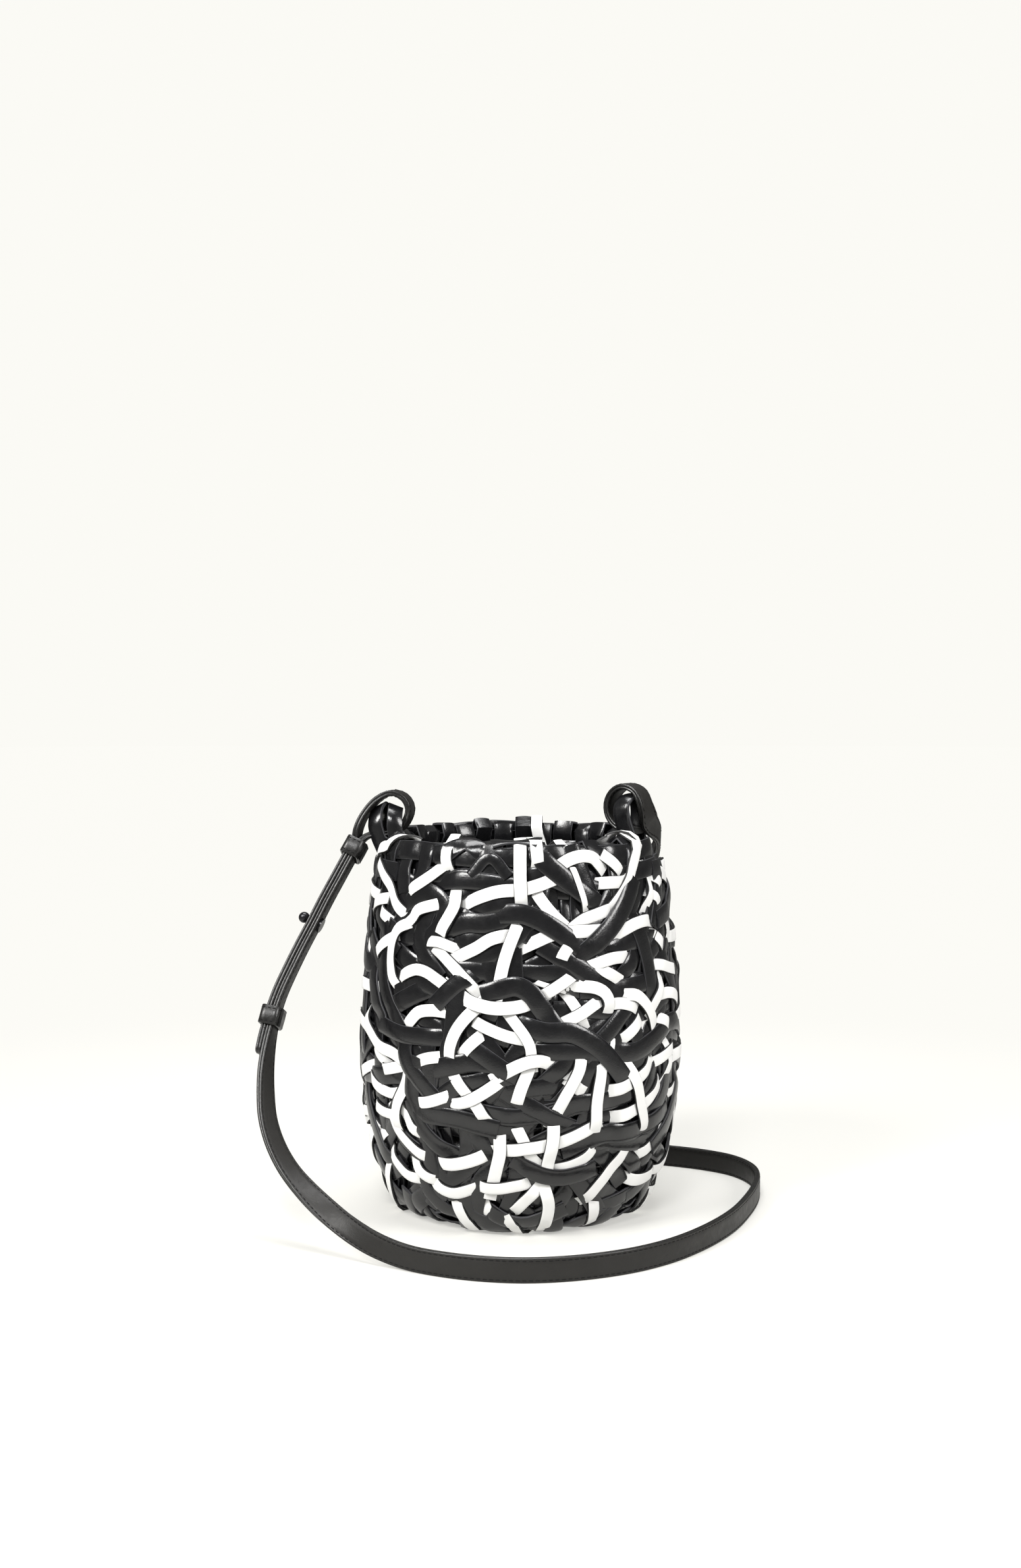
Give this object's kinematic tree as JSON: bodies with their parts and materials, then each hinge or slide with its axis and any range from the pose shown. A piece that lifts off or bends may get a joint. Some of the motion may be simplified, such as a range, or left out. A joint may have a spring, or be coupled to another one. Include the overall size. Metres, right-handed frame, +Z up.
{
  "type": "bucket bag",
  "caption": "Round open-topped bucket bag woven from black and white leather strips, with a stitched shoulder strap looped through woven handles at the rim.",
  "frame": {"origin": "middle of the base, on the surface that the bag stands on", "axes": "+Z up, -Y the front of the bag, +X its right-hand side"},
  "size_m": [0.2728, 0.2637, 0.2298],
  "materials": {
    "black_leather": "smooth, lightly glossy black leather strips",
    "white_leather": "smooth white leather strips with black cut edges",
    "strap_leather": "satin brownish black leather, stitched near both edges",
    "thread": "black sewing thread",
    "stud_metal": "black coated metal"
  },
  "bodies": {
    "bag": {"base_layer_1": "black_leather", "base_layer_2": "black_leather", "base_layer_3": "white_leather", "base_layer_4": "black_leather", "base_layer_5": "black_leather", "wall_stakes": "black_leather", "level_weavers": "black_leather", "black_left_climbers": "black_leather", "black_right_climbers": "black_leather", "white_left_climbers": "white_leather", "white_right_climbers": "white_leather", "rim_band_outer": "black_leather", "rim_band_inner": "black_leather", "rim_folds_black": "black_leather", "rim_folds_white": "white_leather", "left_loop_outer": "black_leather", "left_loop_inner": "black_leather", "left_loop_binding": "white_leather", "right_loop": "black_leather", "right_loop_binding": "white_leather", "strap_main": "strap_leather", "strap_left_fold": "strap_leather", "strap_tail": "strap_leather", "strap_right_fold": "strap_leather", "stud_head": "stud_metal", "stud_post": "stud_metal", "stud_back": "stud_metal"},
    "upper_keeper": {"upper_keeper": "strap_leather", "upper_keeper_stitches": "thread"},
    "lower_keeper": {"lower_keeper": "strap_leather", "lower_keeper_stitches": "thread"},
    "tail_tip": {"strap_tail_tip": "strap_leather"}
  },
  "joints": [
    {"name": "upper_keeper_slide", "type": "slide", "parent": "bag", "child": "upper_keeper", "axis": [0.4428, 0.3152, 0.8394], "range_m": [-0.006, 0.001]},
    {"name": "lower_keeper_slide", "type": "slide", "parent": "bag", "child": "lower_keeper", "axis": [0.224, 0.3443, 0.9117], "range_m": [-0.001, 0.004]},
    {"name": "tail_tip_lift", "type": "hinge", "parent": "bag", "child": "tail_tip", "pos_m": [-0.13586, -0.03381, 0.10146], "axis": [0.172, 0.8972, -0.4068], "range_deg": [0, 20], "stiffness_Nm_per_rad": 0.002}
  ]
}
